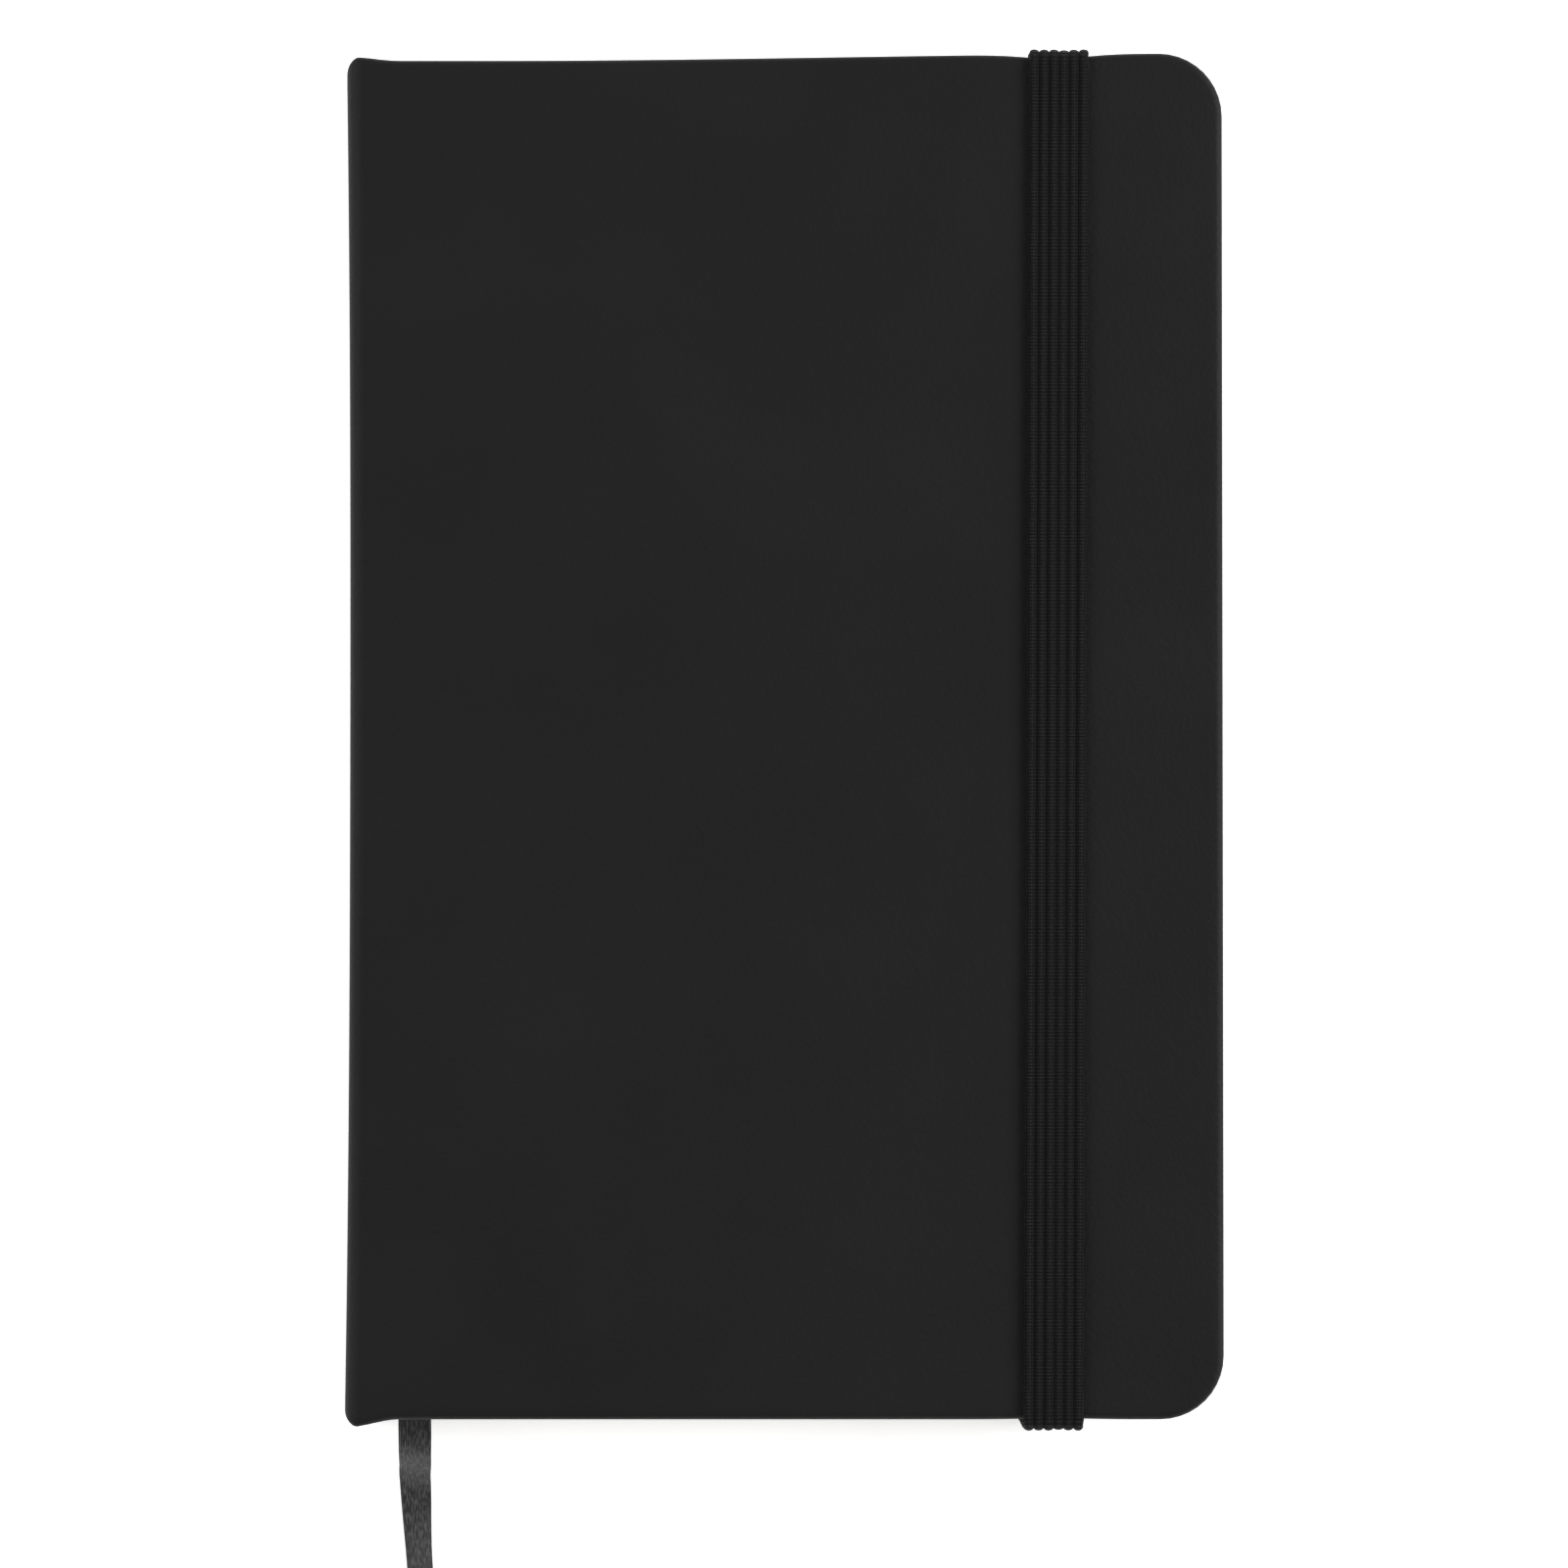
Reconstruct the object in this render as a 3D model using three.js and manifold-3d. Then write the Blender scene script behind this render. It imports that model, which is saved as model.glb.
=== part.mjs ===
// Pocket notebook: a sewn book block in a case of soft-touch leatherette over board,
// with an elastic closure band and a ribbon marker.
// It lies on its back cover. X runs from the spine (-) to the fore edge (+), Y from tail (-)
// to head (+), and Z from the table up through the thickness. Units are millimetres.

import * as THREE from 'three';
import { mergeVertices } from 'three/addons/utils/BufferGeometryUtils.js';
import Module from 'manifold-3d';

// ---- driving dimensions ----
const COVER_WIDTH = 90;
const COVER_HEIGHT = 140;
const BOOK_THICKNESS = 15;
const COVER_CORNER_RADIUS = 6.5;
const SKIN = 0.5;
const BOARD_THICKNESS = 1.6;
const TURN_IN_THICKNESS = 0.4;
const TURN_IN_WIDTH = 12;
const FIT = 0.05;
const JOINT_RADIUS = 1.8;
const SPINE_CARD = 0.6;
const SPINE_CARD_MARGIN = 2;
const OVERHANG = 2.5;
const PAPER_SHEET = 0.15;
const SHEET_GAP = 0.03;
const SIGNATURES_PER_HALF = 3;
const PAGE_CORNER_RADIUS = 5;
const RIBBON_GAP = 0.35;
const RIBBON_WIDTH = 3.4;
const RIBBON_THICKNESS = 0.2;
const BAND_WIDTH = 6.2;
const BAND_THICKNESS = 0.8;
const BAND_X = 27.9;
const BAND_SLOT_FROM_EDGE = 12;
const BAND_END_LENGTH = 14;
const MULL_THICKNESS = 0.25;
const MULL_MARGIN = 6;
const THREAD_DIAMETER = 0.3;
const THREAD_MARGIN = 9;
const CURVE_STEPS = 6;

// ---- worked out from them ----
const HALF_WIDTH = COVER_WIDTH / 2;
const HALF_HEIGHT = COVER_HEIGHT / 2;
const BACK_FACE = BAND_THICKNESS;
const FRONT_FACE = BACK_FACE + BOOK_THICKNESS;
const COVER_THICKNESS = SKIN + BOARD_THICKNESS + TURN_IN_THICKNESS;
const JOINT_X = -HALF_WIDTH + JOINT_RADIUS;
const BACK_JOINT_Z = BACK_FACE + JOINT_RADIUS;
const FRONT_JOINT_Z = FRONT_FACE - JOINT_RADIUS;
const SPINE_INNER_X = -HALF_WIDTH + SKIN + SPINE_CARD + 2 * FIT;
const MULL_X = SPINE_INNER_X + 0.8;
const THREAD_X = MULL_X + MULL_THICKNESS + FIT + THREAD_DIAMETER / 2;
const BLOCK_BACK_X = THREAD_X + THREAD_DIAMETER / 2 + FIT;
const BLOCK_FORE_X = HALF_WIDTH - OVERHANG;
const BLOCK_HALF_HEIGHT = HALF_HEIGHT - OVERHANG;
const BACK_INNER = BACK_FACE + COVER_THICKNESS;
const FRONT_INNER = FRONT_FACE - COVER_THICKNESS;
const BLOCK_BOTTOM = BACK_INNER + 2 * PAPER_SHEET + 3 * SHEET_GAP;
const BLOCK_TOP = FRONT_INNER - 2 * PAPER_SHEET - 3 * SHEET_GAP;
const GAPS_IN_HALF = (SIGNATURES_PER_HALF - 1) * SHEET_GAP;
const HALF_BLOCK = (BLOCK_TOP - BLOCK_BOTTOM - RIBBON_GAP) / 2;
const SIGNATURE = (HALF_BLOCK - GAPS_IN_HALF) / SIGNATURES_PER_HALF;
const GUTTER_Z = (BLOCK_TOP + BLOCK_BOTTOM) / 2;
const SLOT_Y = HALF_HEIGHT - BAND_SLOT_FROM_EDGE;
const SLOT_HALF = 0.75;
const BAND_CLEARANCE = 0.3;
const RECESS_DEPTH = BAND_THICKNESS + 0.1;

// ---- materials ----
const LEATHERETTE = { color: 0x232323, roughness: 0.62, metalness: 0 };
const GREYBOARD = { color: 0x8c8578, roughness: 0.95, metalness: 0 };
const CREAM_PAPER = { color: 0xefe6cf, roughness: 0.9, metalness: 0 };
const GAUZE = { color: 0xe9e4d6, roughness: 0.95, metalness: 0 };
const THREAD = { color: 0xf3efe2, roughness: 0.8, metalness: 0 };
const ELASTIC = { color: 0x161616, roughness: 0.85, metalness: 0 };
const SATIN = { color: 0x3a3a3a, roughness: 0.45, metalness: 0 };

const wasm = await Module();
wasm.setup();

// ---- helpers ----
function toSolid(geometry) {
  const bare = geometry.clone();
  bare.deleteAttribute('normal');
  bare.deleteAttribute('uv');
  const merged = mergeVertices(bare, 1e-4);
  return new wasm.Manifold(new wasm.Mesh({
    numProp: 3,
    vertProperties: new Float32Array(merged.attributes.position.array),
    triVerts: new Uint32Array(merged.index.array),
  }));
}

function toGeometry(solid) {
  const mesh = solid.getMesh();
  const geometry = new THREE.BufferGeometry();
  geometry.setAttribute('position', new THREE.BufferAttribute(mesh.vertProperties, mesh.numProp));
  geometry.setIndex(new THREE.BufferAttribute(mesh.triVerts, 1));
  return geometry;
}

function boxBetween(low, high) {
  const size = high.map((value, i) => value - low[i]);
  const geometry = new THREE.BoxGeometry(...size);
  geometry.translate(...low.map((value, i) => value + size[i] / 2));
  return geometry;
}

// A flat outline from x0 to x1 with both fore-edge corners rounded.
function foreRoundedOutline(x0, x1, halfHeight, radius) {
  const outline = new THREE.Shape();
  outline.moveTo(x0, -halfHeight);
  outline.lineTo(x1 - radius, -halfHeight);
  outline.absarc(x1 - radius, -halfHeight + radius, radius, -Math.PI / 2, 0, false);
  outline.lineTo(x1, halfHeight - radius);
  outline.absarc(x1 - radius, halfHeight - radius, radius, 0, Math.PI / 2, false);
  outline.lineTo(x0, halfHeight);
  outline.closePath();
  return outline;
}

function slab(x0, x1, halfHeight, radius, z0, z1) {
  const outline = foreRoundedOutline(x0, x1, halfHeight, radius);
  const options = { depth: z1 - z0, bevelEnabled: false, curveSegments: CURVE_STEPS };
  return new THREE.ExtrudeGeometry(outline, options).translate(0, 0, z0);
}

// Extrudes an outline drawn as (y, z) along X, between x0 and x1.
function alongX(outline, x0, x1) {
  const options = { depth: x1 - x0, bevelEnabled: false, curveSegments: CURVE_STEPS };
  const geometry = new THREE.ExtrudeGeometry(outline, options);
  const turn = new THREE.Matrix4().makeBasis(
    new THREE.Vector3(0, 1, 0),
    new THREE.Vector3(0, 0, 1),
    new THREE.Vector3(1, 0, 0),
  );
  return geometry.applyMatrix4(turn).translate(x0, 0, 0);
}

// Extrudes an outline drawn as (x, z) along Y, centred on y = 0.
function alongY(outline, halfLength) {
  const options = { depth: 2 * halfLength, bevelEnabled: false, curveSegments: CURVE_STEPS };
  const geometry = new THREE.ExtrudeGeometry(outline, options);
  return geometry.rotateX(Math.PI / 2).translate(0, halfLength, 0);
}

function polygon(points) {
  return new THREE.Shape(points.map(([a, b]) => new THREE.Vector2(a, b)));
}

const notebook = new THREE.Group();

function addPart(name, geometry, look, parent = notebook) {
  const mesh = new THREE.Mesh(geometry, new THREE.MeshStandardMaterial(look));
  mesh.name = name;
  parent.add(mesh);
  return mesh;
}

// ---- covers: a skin folded over a board, open on the inside ----
// A cover is drawn as the back one; flip() carries a height over to the front one.
const asBack = (z) => z;
const asFront = (z) => BACK_FACE + FRONT_FACE - z;

function spread(flip, z0, z1) {
  return [Math.min(flip(z0), flip(z1)), Math.max(flip(z0), flip(z1))];
}

function bandSlots(flip) {
  return [-1, 1].map((end) => {
    const [z0, z1] = spread(flip, BACK_FACE - 1, BACK_INNER + 1);
    const reach = BAND_WIDTH / 2 + BAND_CLEARANCE;
    return toSolid(boxBetween(
      [BAND_X - reach, end * SLOT_Y - SLOT_HALF, z0],
      [BAND_X + reach, end * SLOT_Y + SLOT_HALF, z1],
    ));
  });
}

function coverWrap(flip, slotted) {
  const body = toSolid(slab(JOINT_X, HALF_WIDTH, HALF_HEIGHT, COVER_CORNER_RADIUS,
    ...spread(flip, BACK_FACE, BACK_INNER)));
  const pocket = toSolid(slab(JOINT_X - 1, HALF_WIDTH - SKIN, HALF_HEIGHT - SKIN,
    COVER_CORNER_RADIUS - SKIN, ...spread(flip, BACK_FACE + SKIN, BACK_INNER - TURN_IN_THICKNESS)));
  const window = toSolid(slab(JOINT_X - 1, HALF_WIDTH - TURN_IN_WIDTH, HALF_HEIGHT - TURN_IN_WIDTH,
    1, ...spread(flip, BACK_INNER - 2 * TURN_IN_THICKNESS, BACK_INNER + 1)));
  let wrap = body.subtract(pocket).subtract(window);
  if (slotted) {
    bandSlots(flip).forEach((slot) => {
      wrap = wrap.subtract(slot);
    });
  }
  return toGeometry(wrap);
}

function coverBoard(flip, slotted) {
  const edge = SKIN + FIT;
  let board = toSolid(slab(JOINT_X + 1, HALF_WIDTH - edge, HALF_HEIGHT - edge,
    COVER_CORNER_RADIUS - edge, ...spread(flip, BACK_FACE + edge, BACK_FACE + SKIN + BOARD_THICKNESS - FIT)));
  if (slotted) {
    const top = BACK_FACE + SKIN + BOARD_THICKNESS;
    const reach = BAND_WIDTH / 2 + BAND_CLEARANCE;
    bandSlots(flip).forEach((slot) => {
      board = board.subtract(slot);
    });
    [-1, 1].forEach((end) => {
      const ends = [end * (SLOT_Y + SLOT_HALF), end * (SLOT_Y - BAND_END_LENGTH - 1)];
      const recess = boxBetween(
        [BAND_X - reach, Math.min(...ends), top - RECESS_DEPTH - FIT],
        [BAND_X + reach, Math.max(...ends), top + 1],
      );
      board = board.subtract(toSolid(recess));
    });
  }
  return toGeometry(board);
}

addPart('back_cover_wrap', coverWrap(asBack, true), LEATHERETTE);
addPart('back_cover_board', coverBoard(asBack, true), GREYBOARD);
addPart('front_cover_wrap', coverWrap(asFront, false), LEATHERETTE);
addPart('front_cover_board', coverBoard(asFront, false), GREYBOARD);

// ---- spine: skin with a turned-in head and tail, over a thin card ----
function spineWrap() {
  const z0 = BACK_JOINT_Z;
  const z1 = FRONT_JOINT_Z;
  const body = toSolid(boxBetween([-HALF_WIDTH, -HALF_HEIGHT, z0], [SPINE_INNER_X + SKIN, HALF_HEIGHT, z1]));
  const lie = HALF_HEIGHT - SKIN;
  const pocket = toSolid(boxBetween([-HALF_WIDTH + SKIN, -lie, z0 - 1], [SPINE_INNER_X + 1, lie, z1 + 1]));
  return toGeometry(body.subtract(pocket));
}

addPart('spine_wrap', spineWrap(), LEATHERETTE);
addPart('spine_card', boxBetween(
  [-HALF_WIDTH + SKIN + FIT, -HALF_HEIGHT + SPINE_CARD_MARGIN, BACK_JOINT_Z + FIT],
  [-HALF_WIDTH + SKIN + FIT + SPINE_CARD, HALF_HEIGHT - SPINE_CARD_MARGIN, FRONT_JOINT_Z - FIT],
), GREYBOARD);

// ---- cover joints: the bare strips of skin that bend between spine and cover ----
function jointStrip(centreZ, from, to) {
  const inset = 0.04;
  const outline = new THREE.Shape();
  outline.absarc(JOINT_X, centreZ, JOINT_RADIUS, from + inset, to - inset, false);
  outline.absarc(JOINT_X, centreZ, JOINT_RADIUS - SKIN, to - inset, from + inset, true);
  outline.closePath();
  return alongY(outline, HALF_HEIGHT);
}

addPart('back_joint_strip', jointStrip(BACK_JOINT_Z, Math.PI, 1.5 * Math.PI), LEATHERETTE);
addPart('front_joint_strip', jointStrip(FRONT_JOINT_Z, 0.5 * Math.PI, Math.PI), LEATHERETTE);

// ---- endpapers: a sheet glued to each cover and a free leaf next to the block ----
const PASTEDOWN_MARGIN = 3.2;

function pastedown(flip) {
  return slab(JOINT_X + 1, HALF_WIDTH - PASTEDOWN_MARGIN, HALF_HEIGHT - PASTEDOWN_MARGIN, PAGE_CORNER_RADIUS,
    ...spread(flip, BACK_INNER + SHEET_GAP, BACK_INNER + SHEET_GAP + PAPER_SHEET));
}

function flyleaf(flip) {
  const z = BACK_INNER + 2 * SHEET_GAP + PAPER_SHEET;
  return slab(BLOCK_BACK_X, BLOCK_FORE_X, BLOCK_HALF_HEIGHT, PAGE_CORNER_RADIUS,
    ...spread(flip, z, z + PAPER_SHEET));
}

addPart('back_pastedown', pastedown(asBack), CREAM_PAPER);
addPart('back_flyleaf', flyleaf(asBack), CREAM_PAPER);
addPart('front_pastedown', pastedown(asFront), CREAM_PAPER);
addPart('front_flyleaf', flyleaf(asFront), CREAM_PAPER);

// ---- book block: folded signatures, three behind and three before the ribbon ----
// Counted from the front, as a reader meets them.
function signature(z0) {
  const radius = SIGNATURE / 2;
  const side = new THREE.Shape();
  side.moveTo(BLOCK_FORE_X, z0 + SIGNATURE);
  side.lineTo(BLOCK_BACK_X + radius, z0 + SIGNATURE);
  side.absarc(BLOCK_BACK_X + radius, z0 + radius, radius, Math.PI / 2, 1.5 * Math.PI, false);
  side.lineTo(BLOCK_FORE_X, z0);
  side.closePath();
  const folded = toSolid(alongY(side, BLOCK_HALF_HEIGHT));
  const trim = toSolid(slab(BLOCK_BACK_X - 1, BLOCK_FORE_X, BLOCK_HALF_HEIGHT, PAGE_CORNER_RADIUS,
    z0 - 1, z0 + SIGNATURE + 1));
  return toGeometry(folded.intersect(trim));
}

const SIGNATURE_PITCH = SIGNATURE + SHEET_GAP;
const signatureBottom = (number) => {
  const fromTop = (number - 1) * SIGNATURE_PITCH + SIGNATURE;
  const extra = number > SIGNATURES_PER_HALF ? RIBBON_GAP - SHEET_GAP : 0;
  return BLOCK_TOP - fromTop - extra;
};

for (let number = 1; number <= 2 * SIGNATURES_PER_HALF; number += 1) {
  addPart(`signature_${number}`, signature(signatureBottom(number)), CREAM_PAPER);
}

// ---- behind the folds: sewing thread, and the gauze mull glued over it ----
class ThreadRun extends THREE.Curve {
  constructor(levels) {
    super();
    this.levels = levels;
  }

  // Runs up and down the spine, one signature after another, with a round turn at each end.
  getPoint(t, target = new THREE.Vector3()) {
    const run = t * this.levels.length;
    const index = Math.min(Math.floor(run), this.levels.length - 1);
    const along = run - index;
    const reach = BLOCK_HALF_HEIGHT - THREAD_MARGIN;
    const y = (index % 2 === 0 ? 1 : -1) * reach * -Math.cos(Math.PI * along);
    const turning = Math.max(0, (along - 0.8) / 0.2);
    const next = this.levels[Math.min(index + 1, this.levels.length - 1)];
    const z = this.levels[index] + (next - this.levels[index]) * turning * turning * (3 - 2 * turning);
    return target.set(THREAD_X, y, z);
  }
}

function sewingThread(numbers) {
  const levels = numbers.map((number) => signatureBottom(number) + SIGNATURE / 2);
  const section = new THREE.Shape();
  section.absarc(0, 0, THREAD_DIAMETER / 2, 0, 2 * Math.PI, false);
  const options = { extrudePath: new ThreadRun(levels), steps: 48, curveSegments: 4, bevelEnabled: false };
  return new THREE.ExtrudeGeometry(section, options);
}

addPart('sewing_thread_front_half', sewingThread([3, 2, 1]), THREAD);
addPart('sewing_thread_back_half', sewingThread([6, 5, 4]), THREAD);

const MULL_HALF_HEIGHT = BLOCK_HALF_HEIGHT - MULL_MARGIN;

function mull(z0, z1) {
  return boxBetween([MULL_X, -MULL_HALF_HEIGHT, z0], [MULL_X + MULL_THICKNESS, MULL_HALF_HEIGHT, z1]);
}

addPart('mull_front_half', mull(GUTTER_Z + FIT, BLOCK_TOP), GAUZE);
addPart('mull_back_half', mull(BLOCK_BOTTOM, GUTTER_Z - FIT), GAUZE);

// ---- ribbon marker: glued behind the block at the head, lying between the two halves ----
const RIBBON_HEAD_X = -40.2;
const RIBBON_TAIL_X = -38.1;
const RIBBON_EXIT_Y = -BLOCK_HALF_HEIGHT;

function ribbonInside() {
  const head = BLOCK_HALF_HEIGHT - 1;
  const half = RIBBON_WIDTH / 2;
  const outline = polygon([
    [RIBBON_TAIL_X - half, RIBBON_EXIT_Y + FIT],
    [RIBBON_TAIL_X + half, RIBBON_EXIT_Y + FIT],
    [RIBBON_HEAD_X + half, head],
    [RIBBON_HEAD_X - half, head],
  ]);
  const options = { depth: RIBBON_THICKNESS, bevelEnabled: false };
  return new THREE.ExtrudeGeometry(outline, options).translate(0, 0, GUTTER_Z - RIBBON_THICKNESS / 2);
}

addPart('ribbon_inside', ribbonInside(), SATIN);

// The free end leaves the tail, falls to the table and lies there.
const RIBBON_ROUTE = [
  [-38.1, -67.5, 8.3],
  [-38.1, -69.6, 8.3],
  [-38.1, -71.6, 7.9],
  [-38.15, -73.4, 6.8],
  [-38.2, -74.8, 5.2],
  [-38.3, -76.0, 3.5],
  [-38.3, -77.4, 2.1],
  [-38.25, -79.3, 1.3],
  [-38.15, -81.5, 1.1],
  [-38.0, -84.0, 1.1],
  [-37.8, -87.0, 1.1],
  [-37.6, -90.5, 1.0],
  [-37.2, -94.5, 0.8],
  [-36.6, -98.5, 0.5],
  [-35.6, -102.0, 0.4],
  [-34.2, -105.2, 0.4],
];

function ribbonTail() {
  const half = RIBBON_WIDTH / 2;
  const thick = RIBBON_THICKNESS / 2;
  const cut = 0.3;
  const section = polygon([
    [-half, -thick / 2],
    [-half + cut, -thick],
    [half - cut, -thick],
    [half, -thick / 2],
    [half, thick / 2],
    [half - cut, thick],
    [-half + cut, thick],
    [-half, thick / 2],
  ]);
  const path = new THREE.CatmullRomCurve3(RIBBON_ROUTE.map((point) => new THREE.Vector3(...point)));
  return new THREE.ExtrudeGeometry(section, { extrudePath: path, steps: 30, bevelEnabled: false });
}

addPart('ribbon_tail', ribbonTail(), SATIN);

// ---- elastic band: over the front, round head and tail, through a slot in the back ----
const BAND_LEFT = BAND_X - BAND_WIDTH / 2;
const BAND_RIGHT = BAND_X + BAND_WIDTH / 2;
const BAND_JOIN = 0.1;
const BAND_TOP = FRONT_FACE + FIT + BAND_THICKNESS;

addPart('band_front_span', boxBetween(
  [BAND_LEFT, -HALF_HEIGHT + BAND_JOIN, FRONT_FACE + FIT],
  [BAND_RIGHT, HALF_HEIGHT - BAND_JOIN, BAND_TOP],
), ELASTIC);

function bandWrap(end) {
  const inner = HALF_HEIGHT + FIT;
  const outer = inner + BAND_THICKNESS;
  const arm = HALF_HEIGHT;
  const outline = new THREE.Shape();
  outline.moveTo(arm, 0);
  outline.lineTo(outer - BAND_THICKNESS, 0);
  outline.absarc(outer - BAND_THICKNESS, BAND_THICKNESS, BAND_THICKNESS, -Math.PI / 2, 0, false);
  outline.lineTo(outer, BAND_TOP - BAND_THICKNESS);
  outline.absarc(outer - BAND_THICKNESS, BAND_TOP - BAND_THICKNESS, BAND_THICKNESS, 0, Math.PI / 2, false);
  outline.lineTo(arm, BAND_TOP);
  outline.lineTo(arm, FRONT_FACE + FIT);
  outline.lineTo(inner, FRONT_FACE + FIT);
  outline.lineTo(inner, BACK_FACE - FIT);
  outline.lineTo(arm, BACK_FACE - FIT);
  outline.closePath();
  const geometry = alongX(outline, BAND_LEFT, BAND_RIGHT);
  if (end < 0) {
    geometry.rotateZ(Math.PI).translate(2 * BAND_X, 0, 0);
  }
  return geometry;
}

// The anchored end: a run under the back cover, the pass through its slot, and the glued tail.
function bandEnd(end) {
  const under = BACK_FACE - FIT;
  const slotNear = SLOT_Y + BAND_THICKNESS / 2;
  const slotFar = SLOT_Y - BAND_THICKNESS / 2;
  const gluedTop = BACK_FACE + SKIN + BOARD_THICKNESS - FIT;
  const gluedBottom = gluedTop - BAND_THICKNESS;
  const outline = polygon([
    [HALF_HEIGHT - BAND_JOIN, 0],
    [HALF_HEIGHT - BAND_JOIN, under],
    [slotNear, under],
    [slotNear, gluedTop],
    [SLOT_Y - BAND_END_LENGTH, gluedTop],
    [SLOT_Y - BAND_END_LENGTH, gluedBottom],
    [slotFar, gluedBottom],
    [slotFar, 0],
  ]);
  const geometry = alongX(outline, BAND_LEFT, BAND_RIGHT);
  if (end < 0) {
    geometry.rotateZ(Math.PI).translate(2 * BAND_X, 0, 0);
  }
  return geometry;
}

addPart('band_head_wrap', bandWrap(1), ELASTIC);
addPart('band_tail_wrap', bandWrap(-1), ELASTIC);
addPart('band_head_anchor', bandEnd(1), ELASTIC);
addPart('band_tail_anchor', bandEnd(-1), ELASTIC);

export default notebook;
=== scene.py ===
import math
import random

import bmesh
import bpy
from mathutils import Matrix, Vector


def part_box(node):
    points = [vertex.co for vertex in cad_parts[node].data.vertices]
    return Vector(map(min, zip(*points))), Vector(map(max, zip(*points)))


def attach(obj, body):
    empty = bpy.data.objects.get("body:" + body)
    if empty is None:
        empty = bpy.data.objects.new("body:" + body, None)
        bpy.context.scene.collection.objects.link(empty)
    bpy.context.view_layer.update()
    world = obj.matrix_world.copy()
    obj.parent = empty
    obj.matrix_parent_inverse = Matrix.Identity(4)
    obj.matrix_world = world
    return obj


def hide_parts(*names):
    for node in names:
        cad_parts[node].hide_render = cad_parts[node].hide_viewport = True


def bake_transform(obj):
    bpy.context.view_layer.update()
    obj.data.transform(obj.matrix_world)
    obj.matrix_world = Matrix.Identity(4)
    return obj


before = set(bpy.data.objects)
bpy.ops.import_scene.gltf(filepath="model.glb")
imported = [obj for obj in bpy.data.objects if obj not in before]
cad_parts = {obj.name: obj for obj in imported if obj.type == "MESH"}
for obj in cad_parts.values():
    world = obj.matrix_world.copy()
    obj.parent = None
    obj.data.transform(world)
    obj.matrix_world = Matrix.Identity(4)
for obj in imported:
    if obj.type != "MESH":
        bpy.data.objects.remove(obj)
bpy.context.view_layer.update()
MM = 0.001

# ---- places and sizes from the frame ----
front_low, front_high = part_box("front_cover_wrap")
back_low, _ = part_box("back_cover_wrap")
spine_low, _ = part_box("spine_wrap")
band_low, band_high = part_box("band_front_span")
_, anchor_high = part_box("band_head_anchor")

FORE_X = front_high.x
HALF_HEIGHT = front_high.y
SPINE_X = spine_low.x
FRONT_Z = front_high.z
BACK_Z = back_low.z
MIDDLE_Z = (FRONT_Z + BACK_Z) / 2
JOINT_X = front_low.x
JOINT_RADIUS = JOINT_X - SPINE_X
COVER_THICKNESS = FRONT_Z - front_low.z
SPINE_THICKNESS = 1.15 * MM
CORNER_RADIUS = 6.5 * MM
EDGE_ROUND = 0.75 * MM
TURN_IN = 12 * MM
BAND_CENTRE = (band_low.x + band_high.x) / 2
BAND_WIDTH = band_high.x - band_low.x
BAND_THICKNESS = band_high.z - band_low.z
RIBS = 6
# how near the outermost height a face must lie to count as part of the broad flat face
FLAT_TOLERANCE = 0.01 * MM


# ---- mesh helpers ----
def new_object(name, vertices, faces, smooth=True):
    mesh = bpy.data.meshes.new(name)
    mesh.from_pydata([tuple(v) for v in vertices], [], faces)
    mesh.validate()
    mesh.update()
    if smooth:
        mesh.shade_smooth()
    piece = bpy.data.objects.new(name, mesh)
    bpy.context.collection.objects.link(piece)
    return piece


def face_outwards(piece, face_up):
    """Gives all faces one winding, with the broad flat ones facing up or down."""
    mesh = bmesh.new()
    mesh.from_mesh(piece.data)
    bmesh.ops.recalc_face_normals(mesh, faces=mesh.faces)
    mesh.normal_update()
    edge = max(v.co.z for v in mesh.verts) if face_up else min(v.co.z for v in mesh.verts)
    broad = sum(f.normal.z * f.calc_area() for f in mesh.faces
                if abs(f.calc_center_median().z - edge) < FLAT_TOLERANCE)
    if (broad > 0) != face_up:
        bmesh.ops.reverse_faces(mesh, faces=mesh.faces)
    mesh.to_mesh(piece.data)
    mesh.free()


def smoothstep(value, low, high):
    """0 below low, 1 above high and a smooth rise between them."""
    t = min(1.0, max(0.0, (value - low) / (high - low)))
    return t * t * (3 - 2 * t)


def spaced(low, high, count):
    """The ends and inner stations of count equal steps from low to high."""
    return [low + (high - low) * i / count for i in range(count + 1)]


# ---- materials ----
PAPER_SHADE = (0.78, 0.70, 0.55)
PAPER_LIGHT = (0.84, 0.77, 0.62)
RULE_INK = (0.42, 0.42, 0.4)
RULE_SPACING = 0.006
# as shares of the spacing: where the lines start, and half a line's width
RULE_PHASE = 20.5
RULE_HALF_WIDTH = 0.016
# pitches in millimetres, as the UV maps of the band and the ribbon are
RUNG_PITCH = 0.34
STRAND_PITCH = 0.26
WARP_PITCH = 0.17
FULL_TURN = 2 * math.pi


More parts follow.
